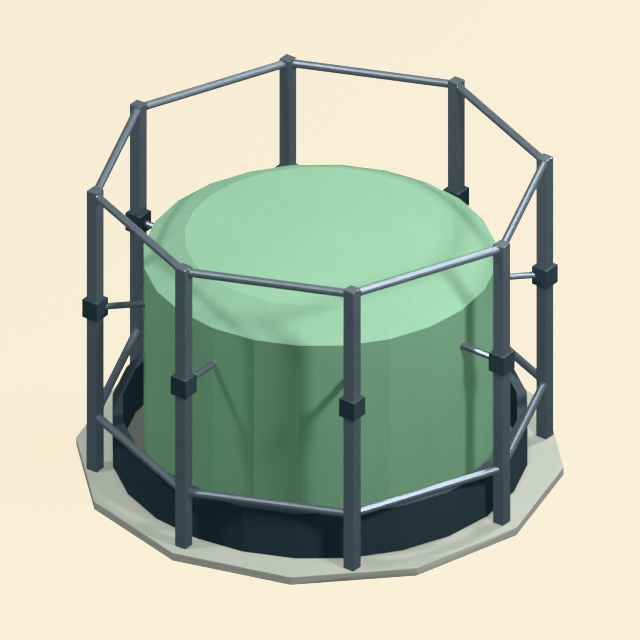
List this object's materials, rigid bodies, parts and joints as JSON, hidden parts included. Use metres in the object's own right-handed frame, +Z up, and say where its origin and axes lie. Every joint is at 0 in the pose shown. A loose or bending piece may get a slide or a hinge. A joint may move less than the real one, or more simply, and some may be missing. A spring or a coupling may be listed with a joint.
{
  "type": "water seal gas holder",
  "caption": "Low-pressure gas holder: a round gas bell rises in a shallow water seal tank, guided by sleeves on braced square posts standing on a concrete slab.",
  "frame": {"origin": "on the ground, at the centre of the underside of the foundation slab", "axes": "+Z up along the bell's lift axis; +X through the axis of post 1, +Y through the axis of post 3"},
  "size_m": [11.9, 11.9, 8.08],
  "materials": {
    "slab_concrete": "bare cast concrete, matt, slightly weathered",
    "tank_paint": "blue-black protective paint, satin",
    "post_paint": "slate grey structural paint, satin",
    "rail_steel": "bare blue-grey steel, satin, with broad highlights",
    "bell_paint": "pale green paint on flat plates, matt",
    "guide_paint": "blue-black paint on the guide sleeves, satin"
  },
  "bodies": {
    "tank_and_frame": {"foundation_slab": "slab_concrete", "tank_wall_1": "tank_paint", "tank_wall_2": "tank_paint", "tank_wall_3": "tank_paint", "tank_wall_4": "tank_paint", "post_1": "post_paint", "post_2": "post_paint", "post_3": "post_paint", "post_4": "post_paint", "post_5": "post_paint", "post_6": "post_paint", "post_7": "post_paint", "post_8": "post_paint", "top_rail_1": "rail_steel", "top_rail_2": "rail_steel", "top_rail_3": "rail_steel", "top_rail_4": "rail_steel", "top_rail_5": "rail_steel", "top_rail_6": "rail_steel", "top_rail_7": "rail_steel", "top_rail_8": "rail_steel", "lower_rail_1": "rail_steel", "lower_rail_2": "rail_steel", "lower_rail_3": "rail_steel", "lower_rail_4": "rail_steel", "lower_rail_5": "rail_steel", "lower_rail_6": "rail_steel", "lower_rail_7": "rail_steel", "lower_rail_8": "rail_steel"},
    "bell": {"bell_wall_1": "bell_paint", "bell_wall_2": "bell_paint", "bell_wall_3": "bell_paint", "bell_wall_4": "bell_paint", "crown_slope_1": "bell_paint", "crown_slope_2": "bell_paint", "crown_cap": "bell_paint", "guide_1": "guide_paint", "guide_2": "guide_paint", "guide_3": "guide_paint", "guide_4": "guide_paint", "guide_5": "guide_paint", "guide_6": "guide_paint", "guide_7": "guide_paint", "guide_8": "guide_paint"}
  },
  "joints": [
    {"name": "bell_lift", "type": "slide", "parent": "tank_and_frame", "child": "bell", "axis": [0, 0, 1], "range_m": [0, 0.9]}
  ]
}
